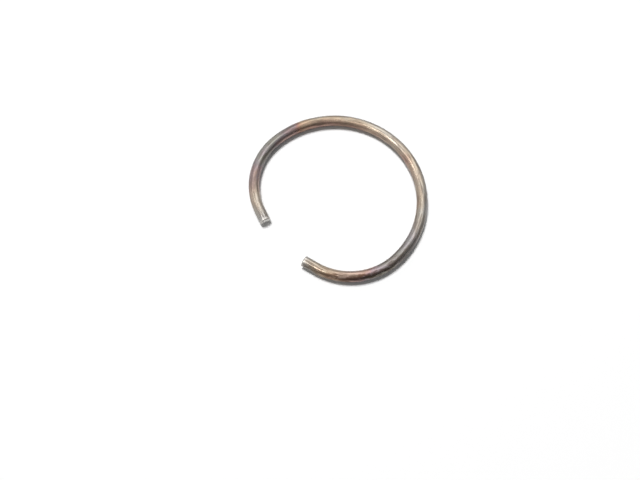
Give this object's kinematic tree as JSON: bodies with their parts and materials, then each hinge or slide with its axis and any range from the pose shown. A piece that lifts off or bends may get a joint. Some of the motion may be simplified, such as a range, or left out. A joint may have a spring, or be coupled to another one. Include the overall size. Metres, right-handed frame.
{
  "type": "retaining ring",
  "caption": "Open retaining ring bent from round spring wire, with two plain cut ends across a gap, for holding a pin or bearing in a grooved bore.",
  "frame": {"origin": "centre of the ring's half-circle back, in the middle of the wire's thickness", "axes": "+Z along the ring's axis, square to the flat ring; the gap between the cut ends is on the -Y side; +X across the ring's widest span"},
  "size_m": [0.0272, 0.024, 0.0016],
  "materials": {
    "spring_wire": "drawn spring steel tempered to a straw and bronze brown, with violet and olive heat tints and bare silver cut ends"
  },
  "bodies": {
    "root": {"ring": "spring_wire"}
  },
  "joints": []
}
